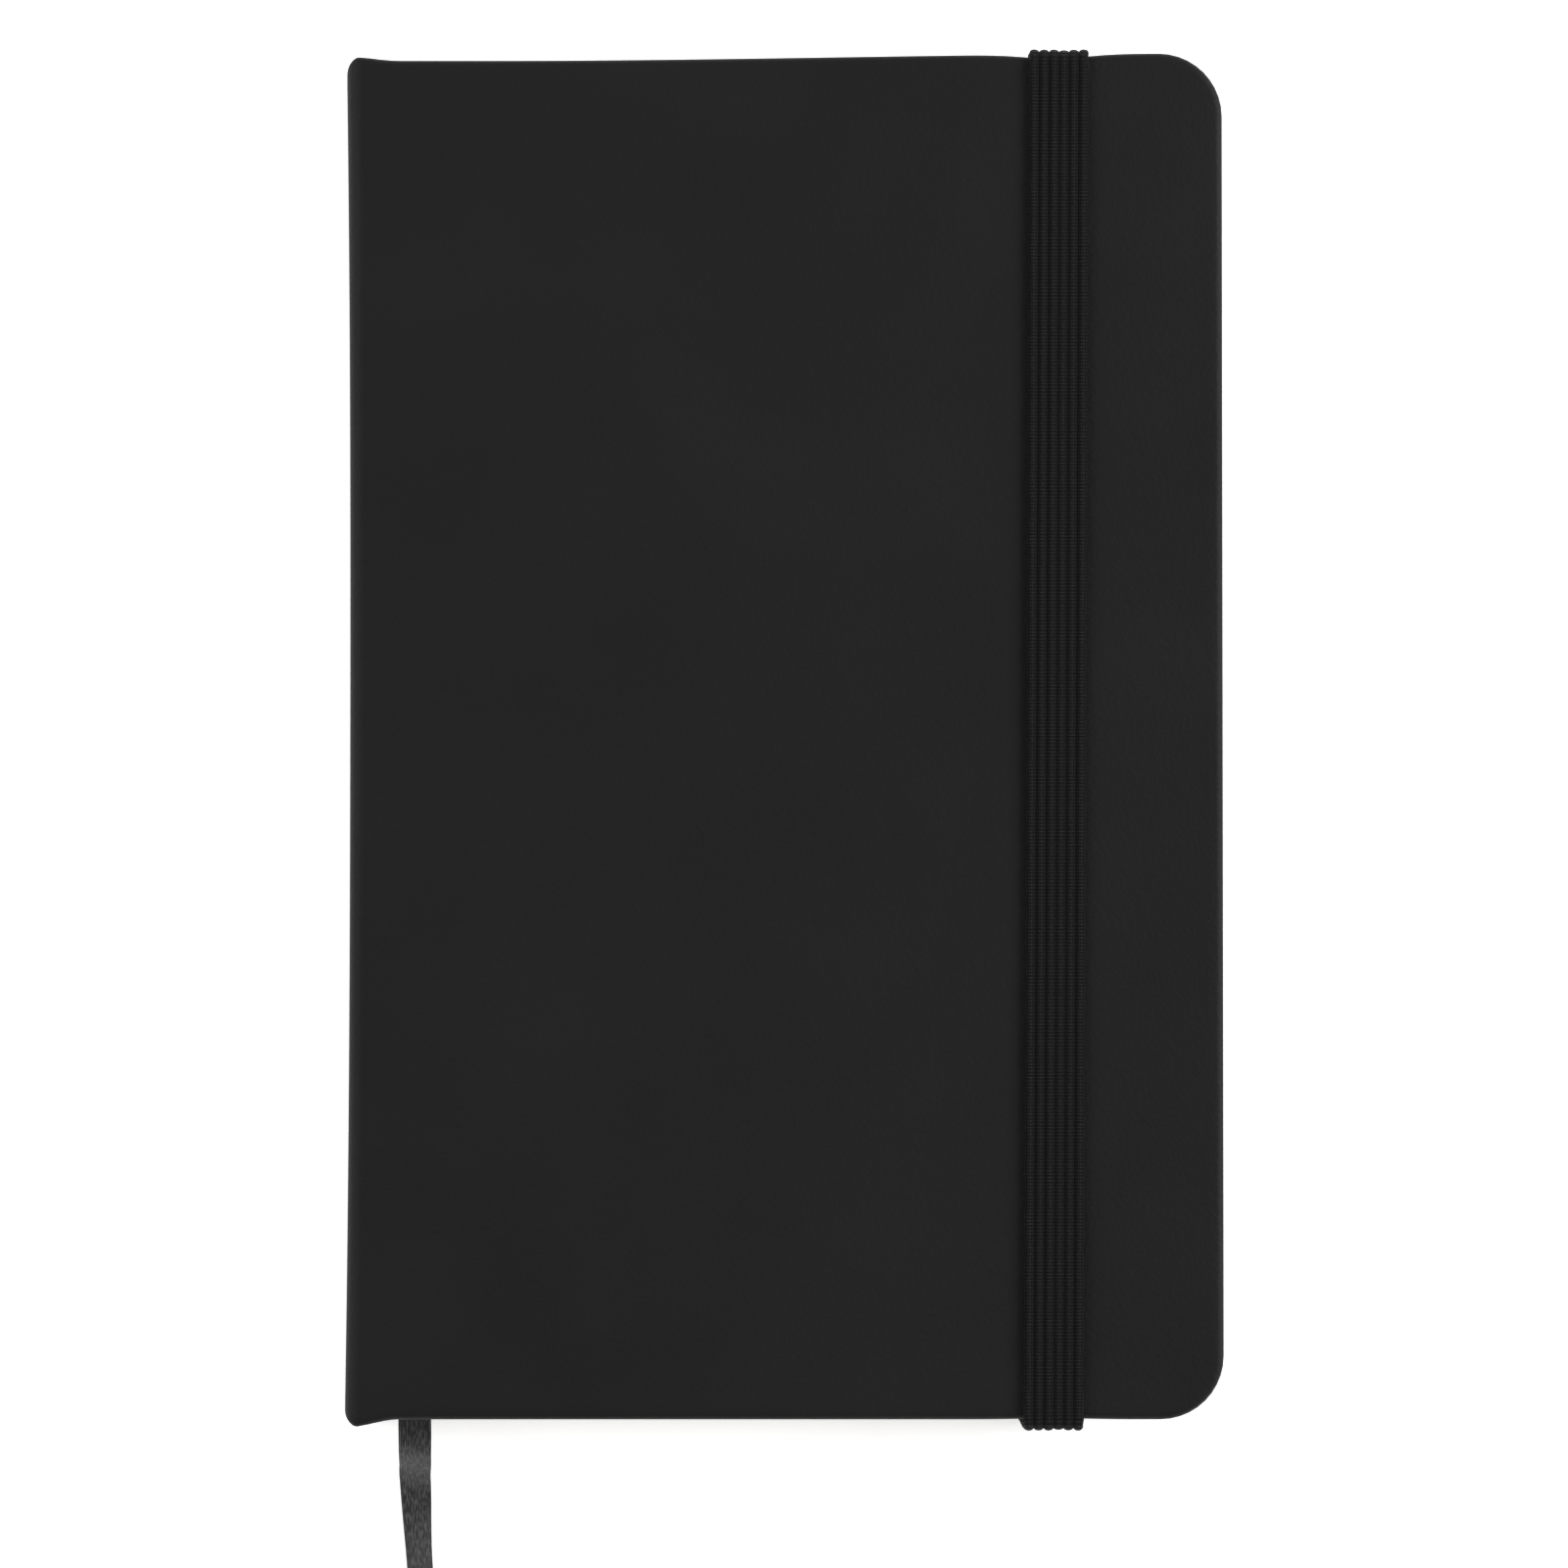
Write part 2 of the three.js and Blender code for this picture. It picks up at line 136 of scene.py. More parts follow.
class Nodes:
    """A small wrapper that adds and links the nodes of one material."""

    def __init__(self, name, roughness, specular):
        self.material = bpy.data.materials.new(name)
        self.material.use_nodes = True
        self.tree = self.material.node_tree
        self.shader = self.tree.nodes["Principled BSDF"]
        self.shader.inputs["Roughness"].default_value = roughness
        self.shader.inputs["Specular IOR Level"].default_value = specular

    def add(self, kind, **settings):
        node = self.tree.nodes.new(kind)
        for key, value in settings.items():
            setattr(node, key, value)
        return node

    def link(self, source, target):
        self.tree.links.new(source, target)

    def coordinates(self, output="Object"):
        return self.add("ShaderNodeTexCoord").outputs[output]

    def noise(self, scale, detail=4.0, vector=None):
        node = self.add("ShaderNodeTexNoise")
        node.inputs["Scale"].default_value = scale
        node.inputs["Detail"].default_value = detail
        self.link(vector or self.coordinates(), node.inputs["Vector"])
        return node.outputs["Fac"]

    def math(self, operation, a, b=None):
        node = self.add("ShaderNodeMath", operation=operation)
        for socket, value in zip(node.inputs, (a, b)):
            if value is None:
                continue
            if isinstance(value, (int, float)):
                socket.default_value = value
            else:
                self.link(value, socket)
        return node.outputs[0]

    def ramp(self, factor, stops, target="Base Color"):
        node = self.add("ShaderNodeValToRGB")
        elements = node.color_ramp.elements
        while len(elements) < len(stops):
            elements.new(0.5)
        for element, (position, colour) in zip(elements, stops):
            element.position = position
            element.color = (*colour, 1)
        self.link(factor, node.inputs["Fac"])
        self.link(node.outputs["Color"], self.shader.inputs[target])

    def bump(self, height, strength, distance, before=None):
        node = self.add("ShaderNodeBump")
        node.inputs["Strength"].default_value = strength
        node.inputs["Distance"].default_value = distance
        self.link(height, node.inputs["Height"])
        if before is not None:
            self.link(before, node.inputs["Normal"])
        return node.outputs["Normal"]

    def normal(self, source):
        self.link(source, self.shader.inputs["Normal"])


def grey(value):
    return (value, value, value)


def leatherette():
    """Soft-touch skin: near-black, very fine pebble grain, faint rubbed patches."""
    m = Nodes("soft_touch_leatherette", 0.6, 0.16)
    where = m.coordinates()
    m.ramp(m.noise(scale=55, detail=6, vector=where), [(0.35, grey(0.0058)), (0.7, grey(0.0075))])
    grain = m.add("ShaderNodeTexVoronoi", feature="SMOOTH_F1")
    grain.inputs["Scale"].default_value = 2600
    m.link(where, grain.inputs["Vector"])
    pebbles = m.bump(grain.outputs["Distance"], strength=0.28, distance=0.00012)
    pores = m.noise(scale=900, detail=3, vector=where)
    m.normal(m.bump(pores, strength=0.18, distance=0.00016, before=pebbles))
    m.shader.inputs["Sheen Weight"].default_value = 0.03
    m.shader.inputs["Sheen Roughness"].default_value = 0.5
    return m.material


def paper(name, ruled):
    """Cream uncoated paper, with faint lines across the leaf if it is ruled."""
    m = Nodes(name, 0.85, 0.25)
    where = m.coordinates()
    fibres = m.noise(scale=1500, detail=5, vector=where)
    if ruled:
        apart = m.add("ShaderNodeSeparateXYZ")
        m.link(where, apart.inputs["Vector"])
        lines_up = m.math("MULTIPLY", apart.outputs["Y"], 1 / RULE_SPACING)
        between_lines = m.math("FRACT", m.math("ADD", lines_up, RULE_PHASE))
        off_line = m.math("ABSOLUTE", m.math("SUBTRACT", between_lines, 0.5))
        inked = m.math("LESS_THAN", off_line, RULE_HALF_WIDTH)
        tone = m.math("SUBTRACT", m.math("MULTIPLY", fibres, 0.5), m.math("MULTIPLY", inked, 0.5))
        m.ramp(tone, [(0.0, RULE_INK), (0.1, PAPER_SHADE), (0.5, PAPER_LIGHT)])
    else:
        m.ramp(fibres, [(0.3, PAPER_SHADE), (0.7, PAPER_LIGHT)])
    m.normal(m.bump(fibres, strength=0.15, distance=0.00006))
    return m.material


def greyboard():
    """Pressed grey-brown board with visible fibres."""
    m = Nodes("greyboard", 0.95, 0.15)
    fibres = m.noise(scale=700, detail=8)
    m.ramp(fibres, [(0.3, (0.20, 0.18, 0.15)), (0.55, (0.30, 0.27, 0.23)), (0.75, (0.40, 0.37, 0.32))])
    m.normal(m.bump(fibres, strength=0.4, distance=0.0002))
    return m.material


def gauze():
    """Open mull weave, two crossed sets of waves."""
    m = Nodes("mull_gauze", 0.95, 0.1)
    waves = []
    for direction in ("Y", "Z"):
        wave = m.add("ShaderNodeTexWave", bands_direction=direction)
        wave.inputs["Scale"].default_value = 350
        wave.inputs["Distortion"].default_value = 0.6
        m.link(m.coordinates(), wave.inputs["Vector"])
        waves.append(wave.outputs["Fac"])
    weave = m.math("MAXIMUM", *waves)
    m.ramp(weave, [(0.3, (0.5, 0.46, 0.38)), (0.8, (0.82, 0.79, 0.7))])
    m.normal(m.bump(weave, strength=0.7, distance=0.00015))
    return m.material


def thread():
    """Twisted linen thread."""
    m = Nodes("sewing_thread", 0.7, 0.3)
    wave = m.add("ShaderNodeTexWave", bands_direction="DIAGONAL")
    wave.inputs["Scale"].default_value = 900
    m.link(m.coordinates(), wave.inputs["Vector"])
    m.ramp(wave.outputs["Fac"], [(0.2, (0.66, 0.62, 0.52)), (0.8, (0.86, 0.83, 0.75))])
    m.normal(m.bump(wave.outputs["Fac"], strength=0.5, distance=0.00005))
    return m.material


def elastic():
    """Ribbed rubber-cored braid, its colour darker in the valleys between the ribs as painted shade: UV.x
    runs across the band and UV.y along it, both in millimetres.
    """
    m = Nodes("ribbed_elastic", 0.8, 0.14)
    where = m.coordinates("UV")
    apart = m.add("ShaderNodeSeparateXYZ")
    m.link(where, apart.inputs["Vector"])
    pitch = BAND_WIDTH / MM / RIBS
    # painted shade: the colour is darker in the valleys between the ribs and lighter on their crowns
    valley_shade_mask = m.math("ABSOLUTE", m.math("COSINE", m.math("MULTIPLY", apart.outputs["X"], math.pi / pitch)))
    rib_shading = m.math("SUBTRACT", 1.0, valley_shade_mask)
    rungs = m.math("SINE", m.math("MULTIPLY", apart.outputs["Y"], FULL_TURN / RUNG_PITCH))
    strands = m.math("SINE", m.math("MULTIPLY", apart.outputs["X"], FULL_TURN / STRAND_PITCH))
    fuzz = m.noise(scale=3.2, detail=8, vector=where)
    patchy = m.math("MULTIPLY", rungs, m.noise(scale=0.55, detail=2, vector=where))
    knit = m.math("ADD", m.math("MULTIPLY", patchy, 0.4), m.math("MULTIPLY", strands, 0.10))
    # the knit pattern plus the painted shade of the ribs
    weave_and_rib_shading = m.math("ADD", m.math("MULTIPLY", rib_shading, 0.3), knit)
    tone = m.math("ADD", weave_and_rib_shading, m.math("MULTIPLY", fuzz, 0.6))
    m.ramp(tone, [(0.3, grey(0.002)), (0.55, grey(0.0062)), (0.85, grey(0.018))])
    knit_bump = m.bump(knit, strength=0.8, distance=0.00012)
    m.normal(m.bump(fuzz, strength=0.6, distance=0.00022, before=knit_bump))
    m.shader.inputs["Sheen Weight"].default_value = 0.06
    m.shader.inputs["Sheen Roughness"].default_value = 0.4
    return m.material


def satin():
    """Woven ribbon: warp threads run along UV.y, with short weft flecks that also carry painted sheen as
    bright streaks; UV in millimetres.
    """
    m = Nodes("satin_ribbon", 0.4, 0.3)
    where = m.coordinates("UV")
    stretch = m.add("ShaderNodeMapping")
    stretch.inputs["Scale"].default_value = (5.5, 1.1, 1.0)
    m.link(where, stretch.inputs["Vector"])
    # painted sheen: stretched noise lays bright streaks along the ribbon into the colour, mixed with the
    # fibre flecks
    flecks_and_sheen = m.noise(scale=1.0, detail=3, vector=stretch.outputs["Vector"])
    apart = m.add("ShaderNodeSeparateXYZ")
    m.link(where, apart.inputs["Vector"])
    warp = m.math("SINE", m.math("MULTIPLY", apart.outputs["X"], FULL_TURN / WARP_PITCH))
    tone = m.math("ADD", m.math("MULTIPLY", warp, 0.12), flecks_and_sheen)
    # the brightest stop is the painted sheen of the streaks
    m.ramp(tone, [(0.4, grey(0.006)), (0.54, grey(0.022)), (0.68, grey(0.10))])
    m.normal(m.bump(tone, strength=0.8, distance=0.0001))
    m.shader.inputs["Anisotropic"].default_value = 0.5
    m.shader.inputs["Sheen Weight"].default_value = 0.08
    return m.material


LEATHERETTE = leatherette()
PLAIN_PAPER = paper("endpaper", ruled=False)
RULED_PAPER = paper("ruled_leaf", ruled=True)
GREYBOARD = greyboard()
GAUZE = gauze()
THREAD = thread()
ELASTIC = elastic()
SATIN = satin()


def finish_with(piece, material):
    """Gives the piece one material."""
    piece.data.materials.clear()
    piece.data.materials.append(material)


def uv_in_millimetres(piece, uv_of_vertex):
    layer = piece.data.uv_layers.new(name="UVMap")
    for loop in piece.data.loops:
        layer.data[loop.index].uv = uv_of_vertex[loop.vertex_index]


# ---- camera: almost straight above, aimed a little below the middle of the book ----
CAMERA_HEIGHT = 0.78
CAMERA_TILT = math.radians(1.6)
AIM = Vector((0, -0.0047, FRONT_Z))
VIEW_WIDTH = 0.1606
SENSOR_WIDTH = 36

camera_data = bpy.data.cameras.new("camera")
camera_data.sensor_width = SENSOR_WIDTH
camera_data.lens = SENSOR_WIDTH * CAMERA_HEIGHT / VIEW_WIDTH
camera = bpy.data.objects.new("camera", camera_data)
bpy.context.collection.objects.link(camera)
camera.location = AIM + CAMERA_HEIGHT * Vector((0, -math.sin(CAMERA_TILT), math.cos(CAMERA_TILT)))
camera.rotation_euler = (CAMERA_TILT, 0, 0)
bpy.context.scene.camera = camera

# ---- ribbon: the free tail is a cord, flat in section, that tilts as it lies ----
RIBBON_WIDTH = 3.4 * MM
RIBBON_THICKNESS = 0.22 * MM
# the ribbon's middle line in millimetres, from the block's tail down to the table and along it
RIBBON_ROUTE = [
    (-38.1, -67.5, 8.3),
    (-38.1, -69.6, 8.3),
    (-38.1, -71.6, 7.9),
    (-38.15, -73.4, 6.8),
    (-38.2, -74.8, 5.2),
    (-38.3, -76.0, 3.5),
    (-38.3, -77.4, 2.1),
    (-38.25, -79.3, 1.3),
    (-38.15, -81.5, 1.1),
    (-38.0, -84.0, 1.1),
    (-37.8, -87.0, 1.1),
    (-37.6, -90.5, 1.0),
    (-37.2, -94.5, 0.8),
    (-36.6, -98.5, 0.5),
    (-35.6, -102.0, 0.4),
    (-34.2, -105.2, 0.4),
]
ROUTE_STEPS = 8
RIBBON_LEAN = math.radians(36)
RIBBON_HEAD = Vector((-40.2, 66.5, 8.3)) * MM
# the run inside starts this share of its length from the tail's exit, so that the two don't share a face
INSIDE_START = 0.0004
INSIDE_STEPS = 24
UPRIGHT_LIMIT = 0.05
# across (of half the width) and through (of half the thickness), round the upper side of the ribbon
RIBBON_PROFILE = [
    (-1, 0.35), (-0.97, 0.9), (-0.9, 1.15), (-0.82, 0.8), (-0.5, 0.75), (0, 0.8),
    (0.5, 0.75), (0.82, 0.8), (0.9, 1.15), (0.97, 0.9), (1, 0.35),
]


def catmull_rom(points, steps):
    """A smooth line through the points, ends included."""
    padded = [2 * points[0] - points[1], *points, 2 * points[-1] - points[-2]]
    line = []
    for a, b, c, d in zip(padded, padded[1:], padded[2:], padded[3:]):
        for i in range(steps):
            t = i / steps
            line.append(0.5 * (2 * b + (c - a) * t + (2 * a - 5 * b + 4 * c - d) * t ** 2
                               + (3 * b - a - 3 * c + d) * t ** 3))
    return [*line, points[-1]]


ribbon_line = catmull_rom([Vector(p) * MM for p in RIBBON_ROUTE], ROUTE_STEPS)


def ribbon_tilt(y):
    """Flat between the leaves, leaning on one edge where it meets the table, flat again at its end."""
    leaning = smoothstep(-y, 70 * MM, 86 * MM) * (1 - smoothstep(-y, 90 * MM, 102 * MM))
    return RIBBON_LEAN * leaning


def ribbon_section():
    """Across and through offsets round a flat section with plump selvedges."""
    top = [(RIBBON_WIDTH / 2 * across, RIBBON_THICKNESS / 2 * through) for across, through in RIBBON_PROFILE]
    return top + [(x, -z) for x, z in reversed(top)]


def flat_strip(name, line, tilt_at):
    """A ribbon along the line, turned about it by tilt_at(y), closed at both ends."""
    section = ribbon_section()
    count = len(section)
    vertices, faces, uv = [], [], []
    along = 0.0
    for i, point in enumerate(line):
        ahead = (line[min(i + 1, len(line) - 1)] - line[max(i - 1, 0)]).normalized()
        side = Vector((0, 0, 1)).cross(ahead)
        side = side.normalized() if side.length > UPRIGHT_LIMIT else Vector((1, 0, 0))
        side = Matrix.Rotation(tilt_at(point.y), 3, ahead) @ side
        up = ahead.cross(side)
        if i:
            along += (point - line[i - 1]).length
        for across, through in section:
            vertices.append(point + side * across + up * through)
            uv.append((across / MM, along / MM))
    for i in range(len(line) - 1):
        for k in range(count):
            n = (k + 1) % count
            faces.append((i * count + k, i * count + n, (i + 1) * count + n, (i + 1) * count + k))
    faces.append(tuple(range(count)))
    faces.append(tuple(reversed(range(len(vertices) - count, len(vertices)))))
    piece = new_object(name, vertices, faces)
    uv_in_millimetres(piece, uv)
    return piece


ribbon = flat_strip("ribbon_marker_tail", ribbon_line, ribbon_tilt)
finish_with(ribbon, SATIN)
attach(ribbon, "back_cover")
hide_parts("ribbon_tail")

inner_line = [ribbon_line[0].lerp(RIBBON_HEAD, t) for t in spaced(INSIDE_START, 1.0, INSIDE_STEPS)]
ribbon_inside = flat_strip("ribbon_marker_inside", list(reversed(inner_line)), lambda y: 0.0)
finish_with(ribbon_inside, SATIN)
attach(ribbon_inside, "back_cover")
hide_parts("ribbon_inside")

# ---- cover skin: one sheet from the middle of the spine, round the joint, over the board and in ----
SPINE_RUN = FRONT_Z - JOINT_RADIUS - MIDDLE_Z
JOINT_RUN = JOINT_RADIUS * math.pi / 2
FLAT_START = SPINE_RUN + JOINT_RUN
SKIN_RUN = FLAT_START + FORE_X - JOINT_X
JOINT_ZONE = 6 * MM
CORNER_STEPS = 10
FORE_STEPS = 35
ROUND_STEPS = 5
FILL_ROWS = 60
SPINE_CORNER = 1.1 * MM
SPINE_BOW = 0.45 * MM
BOW_POWER = 2.5
LEAST_CORNER = 0.8 * MM
EDGE_GAP = 0.3 * MM
HEAD_FLARE, TAIL_FLARE = 0.35 * MM, 0.75 * MM
HEAD_DRAW, TAIL_DRAW = 0.45 * MM, 0.12 * MM
DRAW_REACH = 4.4 * MM
HEAD_RISE = 0.75 * MM
SQUEEZE_FROM = 0.8
# how far from the free edge the outer face's inner rings lie
INNER_RINGS = [1.6 * MM, 2.6 * MM, 4.0 * MM, 5.7 * MM]


def place(run, y, depth, front):
    """A point of the skin: run goes from mid-spine towards the fore edge, depth goes into the cover."""
    if run <= SPINE_RUN:
        x, z = SPINE_X + depth, MIDDLE_Z + run
    elif run < FLAT_START:
        angle = (run - SPINE_RUN) / JOINT_RADIUS
        reach = JOINT_RADIUS - depth
        x = JOINT_X - reach * math.cos(angle)
        z = FRONT_Z - JOINT_RADIUS + reach * math.sin(angle)
    else:
        x, z = JOINT_X + run - FLAT_START, FRONT_Z - depth
    if not front:
        z = 2 * MIDDLE_Z - z
    return Vector((x, y, z))


def thickness_at(run):
    """Thin over the spine and the joint, thick where the board lies inside."""
    return SPINE_THICKNESS + (COVER_THICKNESS - SPINE_THICKNESS) * smoothstep(
        run, FLAT_START + 0.6 * MM, FLAT_START + 1.6 * MM)


def spine_corner_drop(run):
    """The skin's ends round off towards the spine, as a quarter circle seen from above."""
    across = max(0.0, min(place(run, 0, 0, True).x - SPINE_X, SPINE_CORNER))
    return SPINE_CORNER - math.sqrt(max(0.0, SPINE_CORNER ** 2 - (SPINE_CORNER - across) ** 2))


def spine_bow(run, y):
    """How far the middle of the spine is drawn in from its flared ends."""
    along = 1 - (abs(y) / HALF_HEIGHT) ** BOW_POWER
    return SPINE_BOW * max(0.0, along) * (1 - smoothstep(run, SPINE_RUN, FLAT_START + 3 * MM))


def edge_height(run, side):
    """Half the skin's height at the head (side 1) or tail (-1): wider at the spine, drawn in by the band."""
    x = run - FLAT_START + JOINT_X
    flare = HEAD_FLARE if side > 0 else TAIL_FLARE
    flare *= 1 - smoothstep(x, SPINE_X + 0.6 * MM, SPINE_X + 5.6 * MM)
    flare -= spine_corner_drop(run)
    rise = HEAD_RISE * smoothstep(x, -30 * MM, 42 * MM) if side > 0 else 0
    draw = HEAD_DRAW if side > 0 else TAIL_DRAW
    draw *= math.exp(-(((x - BAND_CENTRE) / DRAW_REACH) ** 2))
    return HALF_HEIGHT - EDGE_GAP + flare + rise - draw


def edge_stations():
    """Runs from mid-spine to where the corner begins, closest together round the joint."""
    runs = spaced(0, SPINE_RUN, 5)
    runs += spaced(SPINE_RUN, FLAT_START, 10)[1:]
    runs += spaced(FLAT_START, FLAT_START + JOINT_ZONE, 8)[1:]
    runs += spaced(FLAT_START + JOINT_ZONE, SKIN_RUN - CORNER_RADIUS, 76)[1:]
    return runs


def outline_point(station, side, inset):
    """A point (run, y) of the free edge, inset from it.

    The station is a pair: "edge" with a run, "corner" with an angle, or "fore" with a share of
    the fore edge's half height. Runs near the corner are squeezed so that they end at its inset arc.
    """
    radius = max(CORNER_RADIUS - inset, LEAST_CORNER)
    kind, value = station
    corner_height = edge_height(SKIN_RUN - CORNER_RADIUS, side)
    height = edge_height(value, side) if kind == "edge" else corner_height
    corner_run = SKIN_RUN - inset - radius
    if kind == "edge":
        limit = SKIN_RUN - CORNER_RADIUS
        start = limit * SQUEEZE_FROM
        along = value if value < start else start + (value - start) * (corner_run - start) / (limit - start)
        return along, side * (height - inset)
    if kind == "corner":
        return (corner_run + radius * math.sin(value),
                side * (height - inset - radius + radius * math.cos(value)))
    return SKIN_RUN - inset, side * value * (height - inset - radius)


def cover_skin(name, front):
    """The turn-ins, the rounded edge and the outer face: rings along the free edge, then a grid of quads."""
    edge_runs = edge_stations()
    quarter = spaced(0, math.pi / 2, CORNER_STEPS)
    path = [(("edge", r), 1) for r in edge_runs]
    path += [(("corner", a), 1) for a in quarter[1:]]
    path += [(("fore", v), 1) for v in spaced(1, 0, FORE_STEPS)[1:]]
    path += [(("fore", v), -1) for v in spaced(0, 1, FORE_STEPS)[1:]]
    path += [(("corner", a), -1) for a in reversed(quarter[:-1])]
    path += [(("edge", r), -1) for r in reversed(edge_runs[:-1])]
    # each ring: its inset, whether it lies on the inner (1) or outer (0) face, and its shift in depth
    profile = [(TURN_IN, 1.0, 0.0), (TURN_IN * 0.55, 1.0, 0.0)]
    for angle in spaced(0, math.pi / 2, ROUND_STEPS):
        profile.append((EDGE_ROUND * (1 - math.sin(angle)), 1.0, -EDGE_ROUND * (1 - math.cos(angle))))
    for angle in spaced(0, math.pi / 2, ROUND_STEPS):
        profile.append((EDGE_ROUND * (1 - math.cos(angle)), 0.0, EDGE_ROUND * (1 - math.sin(angle))))
    profile += [(inset, 0.0, 0.0) for inset in INNER_RINGS]
    vertices = []
    for inset, back_share, shift in profile:
        for station, side in path:
            along, y = outline_point(station, side, inset)
            thick = thickness_at(along)
            depth = back_share * thick + shift * min(1.0, thick / (2 * EDGE_ROUND))
            point = place(along, y, depth, front)
            point.x += spine_bow(along, y)
            vertices.append(point)
    rings, count = len(profile), len(path)
    faces = []
    for k in range(rings - 1):
        for i in range(count - 1):
            corner = k * count + i
            faces.append((corner, corner + 1, corner + count + 1, corner + count))
    faces += fill_inside(vertices, (rings - 1) * count, edge_runs, front)
    piece = new_object(name, vertices, faces)
    face_outwards(piece, face_up=front)
    return piece


def fill_inside(vertices, start, edge_runs, front):
    """Fills the last ring, which is all of vertices from start on.

    Columns of quads join its head side to its tail side, and triangles join the last column to its
    fore side.
    """
    columns = len(edge_runs)
    last = len(vertices) - 1
    faces = []
    grid = []
    for c in range(columns):
        head, tail = start + c, last - c
        column = [head]
        for r in range(1, FILL_ROWS):
            y = vertices[head].y + (vertices[tail].y - vertices[head].y) * r / FILL_ROWS
            point = place(edge_runs[c], y, 0, front)
            if c == columns - 1:
                point.x = vertices[head].x + (vertices[tail].x - vertices[head].x) * r / FILL_ROWS
            point.x += spine_bow(edge_runs[c], y)
            vertices.append(point)
            column.append(len(vertices) - 1)
        column.append(tail)
        grid.append(column)
    for c in range(columns - 1):
        for r in range(FILL_ROWS):
            faces.append((grid[c][r], grid[c][r + 1], grid[c + 1][r + 1], grid[c + 1][r]))
    fore_side = list(range(start + columns, last - columns + 1))
    return faces + strip_between(vertices, grid[-1], fore_side)


def strip_between(vertices, column, side):
    """Triangles between two rows of points that run the same way from head to tail."""
    faces = []
    a, b = 0, 0
    while a < len(column) - 1 or b < len(side) - 1:
        step_side = a == len(column) - 1 or (
            b < len(side) - 1 and vertices[side[b + 1]].y >= vertices[column[a + 1]].y)
        if step_side:
            faces.append((column[a], side[b + 1], side[b]))
            b += 1
        else:
            faces.append((column[a], column[a + 1], side[b]))
            a += 1
    return faces


front_skin = cover_skin("cover_skin_front", True)
finish_with(front_skin, LEATHERETTE)
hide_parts("front_cover_wrap", "front_joint_strip")
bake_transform(front_skin)

back_skin = cover_skin("cover_skin_back", False)
finish_with(back_skin, LEATHERETTE)
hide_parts("back_cover_wrap", "back_joint_strip", "spine_wrap")
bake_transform(back_skin)

# ---- book block: every signature is eight folded sheets, each a little off the next ----
SHEETS = 8
LEAF_CORNER = 5 * MM
CREEP = 0.02 * MM
SIGNATURE_GAP = 0.012 * MM
PAPER_SHARE = 0.86
random.seed(7)


def folded_sheet(vertices, faces, low, high, nest, pitch, paper_thickness):
    """Adds one folded sheet of a signature: two leaves joined by a half-round fold at the back."""
    middle = (low.z + high.z) / 2
    outer = (high.z - low.z) / 2 - nest * pitch
    creep = (nest - SHEETS / 2) * CREEP + random.uniform(-0.07, 0.07) * MM
    fore = high.x + creep
    half_height = high.y + random.uniform(-0.06, 0.04) * MM
    shift = random.uniform(-0.05, 0.05) * MM
    fold_x = low.x + (high.z - low.z) / 2
    stations = []
    for angle in spaced(0, math.pi / 2, 7):
        x = fore - LEAF_CORNER + LEAF_CORNER * math.cos(angle)
        height = half_height - LEAF_CORNER + LEAF_CORNER * math.sin(angle)
        stations.append((x, height))
    path = [(x, outer, (0, 1), height) for x, height in stations]
    path.append((fold_x, outer, (0, 1), half_height))
    for angle in spaced(0, math.pi, 8)[1:-1]:
        path.append((fold_x - outer * math.sin(angle), outer * math.cos(angle),
                     (-math.sin(angle), math.cos(angle)), half_height))
    path.append((fold_x, -outer, (0, -1), half_height))
    path += [(x, -outer, (0, -1), height) for x, height in reversed(stations)]
    start = len(vertices)
    for x, z, (nx, nz), height in path:
        for depth in (0, paper_thickness):
            for side in (1, -1):
                vertices.append(Vector((x - nx * depth, side * height + shift, middle + z - nz * depth)))
    for i in range(len(path) - 1):
        a, b = start + 4 * i, start + 4 * (i + 1)
        faces += [(a, a + 1, b + 1, b), (a + 2, b + 2, b + 3, a + 3),
                  (a, b, b + 2, a + 2), (a + 1, a + 3, b + 3, b + 1)]
    end = start + 4 * (len(path) - 1)
    faces += [(start, start + 2, start + 3, start + 1), (end, end + 1, end + 3, end + 2)]


def signature(number, body):
    """The sheets of one signature, as one piece that goes with the body."""
    node = f"signature_{number}"
    low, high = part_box(node)
    low, high = Vector(low), Vector(high)
    low.z += SIGNATURE_GAP
    high.z -= SIGNATURE_GAP
    pitch = (high.z - low.z) / 2 / SHEETS
    vertices, faces = [], []
    for nest in range(SHEETS):
        folded_sheet(vertices, faces, low, high, nest, pitch, pitch * PAPER_SHARE)
    piece = new_object(f"leaves_{number}", vertices, faces, smooth=False)
    finish_with(piece, RULED_PAPER)
    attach(piece, body)
    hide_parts(node)


for number in (1, 2, 3):
    signature(number, "front_leaves")
for number in (4, 5, 6):
    signature(number, "back_cover")

# ---- elastic band: one ribbed strip from slot to slot ----
SECTION_STEPS = 8
RIB_HEIGHTS = (1.0, 0.94, 0.97, 0.66, 0.9, 1.0)
RIB_BASE, RIB_RISE, RIB_POWER = 0.34, 0.64, 0.6
EDGE_HEIGHT = BAND_THICKNESS * 0.12
BAND_TRIM = 0.985
BAND_SKEW = 0.005
BEAD = 0.045 * MM
BEAD_PERIODS = (2.3, 5.9)
BEAD_POWER = 6
BEND_STEPS = 6
SLOT_Y = anchor_high.y - 11.9 * MM
BAND_CENTRE_TOP = band_low.z + BAND_THICKNESS / 2
BAND_CENTRE_BOTTOM = BAND_THICKNESS / 2 - 0.02 * MM
WRAP_Y = HALF_HEIGHT + 0.05 * MM + BAND_THICKNESS / 2
BEND = 0.9 * MM


